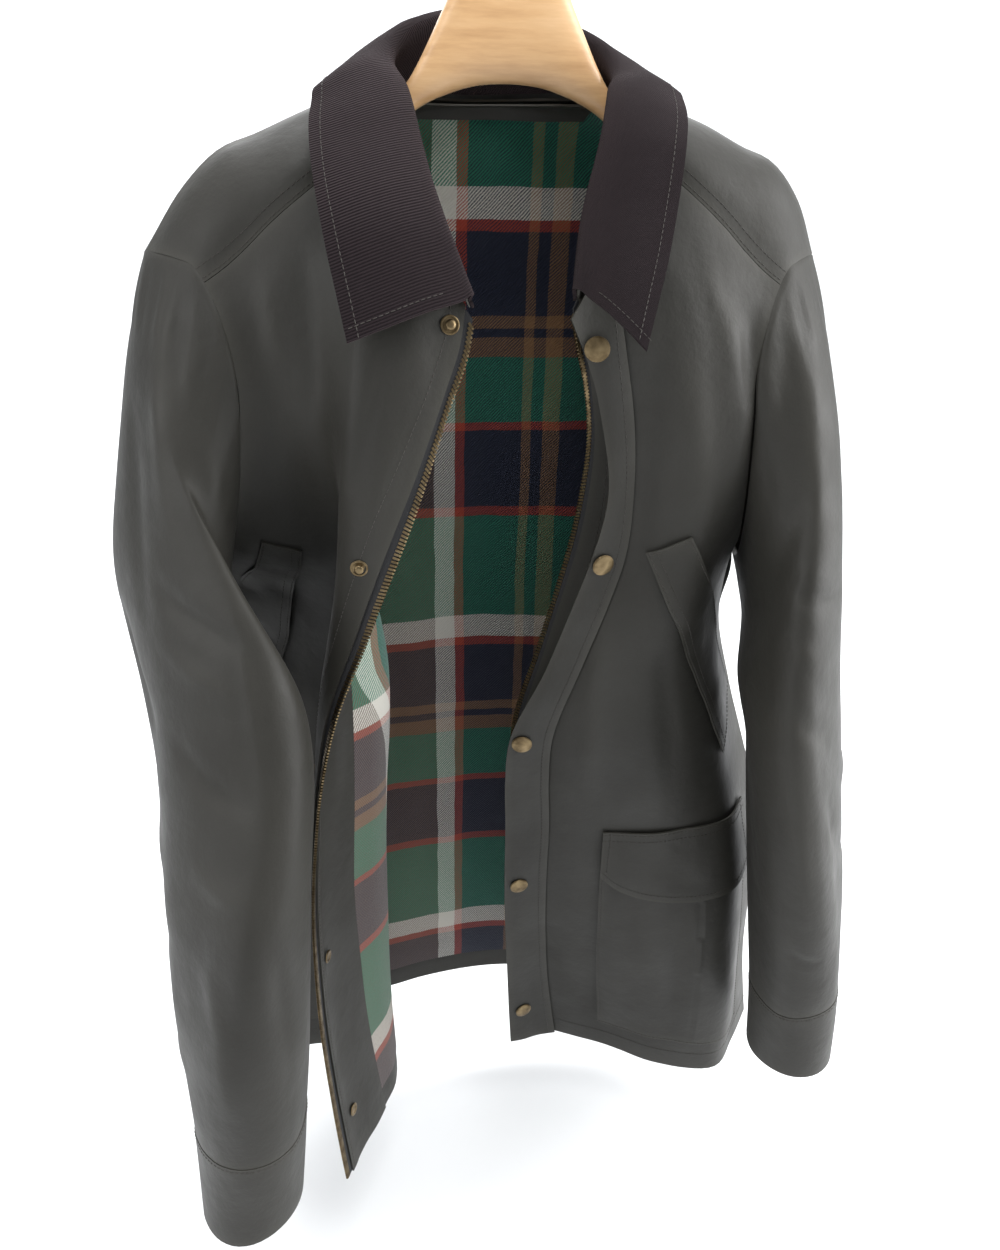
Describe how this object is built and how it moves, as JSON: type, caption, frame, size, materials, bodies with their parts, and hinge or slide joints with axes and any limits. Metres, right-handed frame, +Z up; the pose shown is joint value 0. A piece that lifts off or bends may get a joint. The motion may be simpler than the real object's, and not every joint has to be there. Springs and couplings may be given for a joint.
{
  "type": "waxed cotton jacket on a wooden hanger",
  "caption": "Hip-length waxed cotton field jacket with a corduroy collar, plaid lining, open zip front and patch pockets, hanging on a contoured wooden hanger.",
  "frame": {"origin": "inner top of the hanger's hook, where the rail bears", "axes": "+Z up, -Y the front of the jacket, +X the wearer's left"},
  "size_m": [0.5278, 0.3233, 0.9322],
  "materials": {
    "waxed_cotton": "dark olive waxed cotton with a low, soft sheen",
    "corduroy": "dark brown fine-wale corduroy",
    "plaid_lining": "brushed cotton twill in a green, navy, white and orange plaid",
    "zip_tape": "matt woven tape with brass teeth",
    "antique_brass": "darkened, worn brass",
    "beech": "clear satin varnish",
    "steel": "bright plated wire"
  },
  "bodies": {
    "jacket": {"front_left": "waxed_cotton", "front_right": "waxed_cotton", "yoke_left": "waxed_cotton", "yoke_right": "waxed_cotton", "back": "waxed_cotton", "sleeve_left": "waxed_cotton", "sleeve_right": "waxed_cotton", "cuff_left": "waxed_cotton", "cuff_right": "waxed_cotton", "collar": "corduroy", "undercollar": "waxed_cotton", "neck_facing": "waxed_cotton", "facing_left": "waxed_cotton", "facing_right": "waxed_cotton", "lining_left": "plaid_lining", "lining_right": "plaid_lining", "lining_back": "plaid_lining", "zip_tape_left": "zip_tape", "zip_tape_right": "zip_tape", "zip_slider": "antique_brass", "storm_flap": "waxed_cotton", "snap_cap_1": "antique_brass", "snap_cap_2": "antique_brass", "snap_cap_3": "antique_brass", "snap_cap_4": "antique_brass", "snap_cap_5": "antique_brass", "snap_stud_1": "antique_brass", "snap_stud_2": "antique_brass", "snap_stud_3": "antique_brass", "snap_stud_4": "antique_brass", "snap_stud_5": "antique_brass", "snap_back_1": "antique_brass", "snap_back_2": "antique_brass", "snap_back_3": "antique_brass", "snap_back_4": "antique_brass", "snap_back_5": "antique_brass", "welt_left": "waxed_cotton", "welt_right": "waxed_cotton", "pocket_left": "waxed_cotton", "pocket_right": "waxed_cotton", "pocket_flap_left": "waxed_cotton", "pocket_flap_right": "waxed_cotton", "hanger_body": "beech", "hanger_hook": "steel"},
    "pull": {"zip_pull": "antique_brass"}
  },
  "joints": [
    {"name": "pull_swing", "type": "hinge", "parent": "jacket", "child": "pull", "pos_m": [0.02501, 0.00317, -0.88337], "axis": [-0.9182, 0.396, 0], "range_deg": [-4, 30]}
  ]
}
